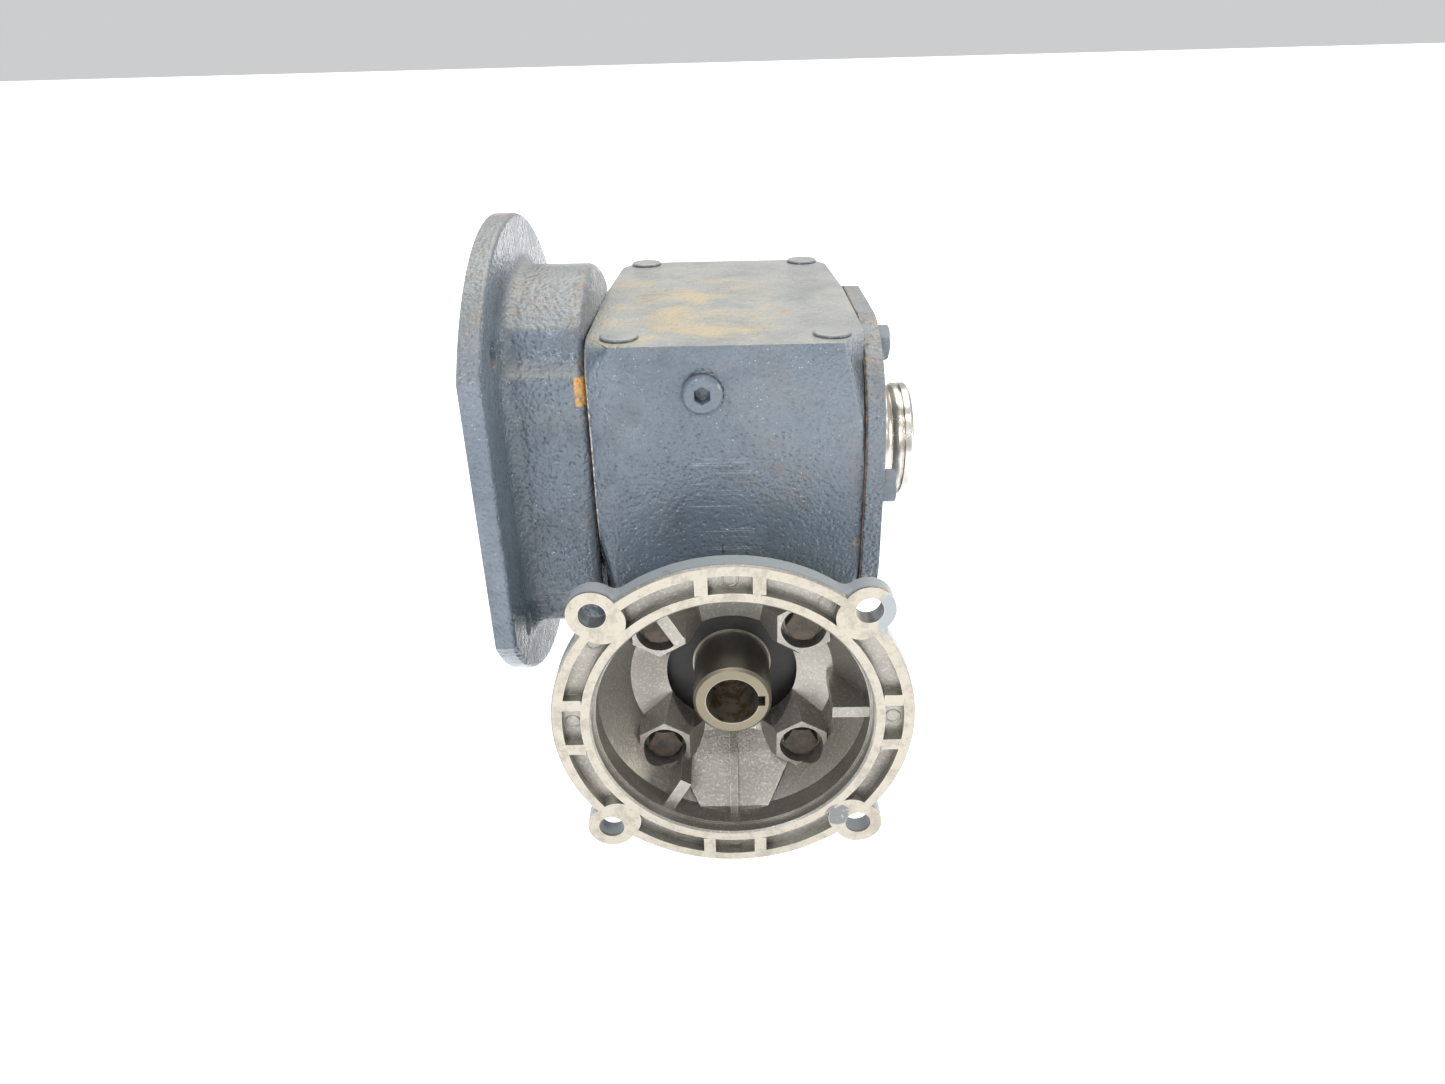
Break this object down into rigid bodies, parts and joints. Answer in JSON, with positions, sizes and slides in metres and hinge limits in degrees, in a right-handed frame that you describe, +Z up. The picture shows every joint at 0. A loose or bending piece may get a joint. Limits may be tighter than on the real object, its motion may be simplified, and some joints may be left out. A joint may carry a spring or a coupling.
{
  "type": "right-angle gear reducer",
  "caption": "Right-angle worm gear reducer with painted cast case, output flange, hollow keyed output shaft and aluminium C-face adapter with quill input, no motor fitted",
  "frame": {"origin": "on the output shaft axis, in the plane that holds the input axis", "axes": "+X toward the free end of the output shaft, -Y toward the motor, +Z up"},
  "size_m": [0.1785, 0.214, 0.2585],
  "materials": {
    "case_paint": "satin blue-grey enamel on cast iron",
    "casting_paint": "satin blue-grey enamel on rough cast iron",
    "painted_fastener": "blue-grey enamel over steel",
    "plug_paint": "thin blue-grey enamel",
    "adapter_aluminium": "die-cast, face machined, light overspray",
    "rusty_steel": "plain steel with brown rust bloom",
    "black_steel": "black oxide",
    "seal_rubber": "black nitrile rubber",
    "gasket_sheet": "dark fibre sheet",
    "polished_steel": "ground, oiled",
    "dark_steel": "turned, dark oiled",
    "bronze": "hobbed bronze",
    "bearing_steel": "ground and polished",
    "machined_steel": "machined, oiled"
  },
  "bodies": {
    "housing": {"adapter_bolts": "rusty_steel", "adapter_gasket": "gasket_sheet", "bearing_cover": "casting_paint", "cover_bolts": "painted_fastener", "cover_gasket": "gasket_sheet", "drain_plug": "painted_fastener", "drain_plug_washer": "gasket_sheet", "foot_hole_plugs": "plug_paint", "gear_case": "case_paint", "input_bearing_front_outer_ring": "bearing_steel", "input_bearing_rear_outer_ring": "bearing_steel", "input_seal": "seal_rubber", "motor_adapter": "adapter_aluminium", "oil_level_plug": "painted_fastener", "oil_level_plug_washer": "gasket_sheet", "output_bearing_left_outer_ring": "bearing_steel", "output_bearing_right_outer_ring": "bearing_steel", "output_flange": "casting_paint", "output_flange_screws": "black_steel", "output_seal_left": "seal_rubber", "output_seal_right": "seal_rubber", "rear_cover": "casting_paint", "rear_cover_bolts": "painted_fastener", "rear_cover_gasket": "gasket_sheet", "worm_bearing_front_outer_ring": "bearing_steel", "worm_bearing_rear_outer_ring": "bearing_steel"},
    "output_shaft_group": {"output_bearing_left_inner_ring": "bearing_steel", "output_bearing_right_inner_ring": "bearing_steel", "output_shaft": "polished_steel", "spacer_left": "machined_steel", "spacer_right": "machined_steel", "wheel_hub": "machined_steel", "wheel_key": "machined_steel", "worm_wheel_rim": "bronze"},
    "worm_group": {"worm_shaft": "machined_steel", "worm_spur_gear": "machined_steel", "worm_gear_key": "machined_steel", "worm_snap_ring": "machined_steel", "worm_bearing_front_inner_ring": "bearing_steel", "worm_bearing_rear_inner_ring": "bearing_steel"},
    "input_group": {"input_quill_shaft": "dark_steel", "input_pinion": "machined_steel", "pinion_key": "machined_steel", "input_snap_ring": "machined_steel", "input_bearing_front_inner_ring": "bearing_steel", "input_bearing_rear_inner_ring": "bearing_steel"},
    "output_ball_sets": {"output_bearing_left_balls": "bearing_steel", "output_bearing_right_balls": "bearing_steel"},
    "worm_ball_sets": {"worm_bearing_front_balls": "bearing_steel", "worm_bearing_rear_balls": "bearing_steel"},
    "input_front_ball_set": {"input_bearing_front_balls": "bearing_steel"},
    "input_rear_ball_set": {"input_bearing_rear_balls": "bearing_steel"}
  },
  "joints": [
    {"name": "output_spin", "type": "hinge", "parent": "housing", "child": "output_shaft_group", "pos_m": [0, 0, 0], "axis": [1, 0, 0], "continuous": true},
    {"name": "worm_spin", "type": "hinge", "parent": "housing", "child": "worm_group", "pos_m": [0, 0, -0.0565], "axis": [0, 1, 0], "continuous": true},
    {"name": "input_spin", "type": "hinge", "parent": "housing", "child": "input_group", "pos_m": [0, 0, -0.085], "axis": [0, 1, 0], "continuous": true},
    {"name": "output_balls_orbit", "type": "hinge", "parent": "housing", "child": "output_ball_sets", "pos_m": [0, 0, 0], "axis": [1, 0, 0], "continuous": true},
    {"name": "worm_balls_orbit", "type": "hinge", "parent": "housing", "child": "worm_ball_sets", "pos_m": [0, 0, -0.0565], "axis": [0, 1, 0], "continuous": true},
    {"name": "input_front_balls_orbit", "type": "hinge", "parent": "housing", "child": "input_front_ball_set", "pos_m": [0, 0, -0.085], "axis": [0, 1, 0], "continuous": true},
    {"name": "input_rear_balls_orbit", "type": "hinge", "parent": "housing", "child": "input_rear_ball_set", "pos_m": [0, 0, -0.085], "axis": [0, 1, 0], "continuous": true}
  ],
  "couplings": [
    {"joint": "worm_spin", "follows": "output_spin", "ratio": -17},
    {"joint": "input_spin", "follows": "output_spin", "ratio": 29.143},
    {"joint": "output_balls_orbit", "follows": "output_spin", "ratio": 0.43385},
    {"joint": "worm_balls_orbit", "follows": "output_spin", "ratio": -6.545},
    {"joint": "input_front_balls_orbit", "follows": "output_spin", "ratio": 12.228},
    {"joint": "input_rear_balls_orbit", "follows": "output_spin", "ratio": 11.22}
  ]
}
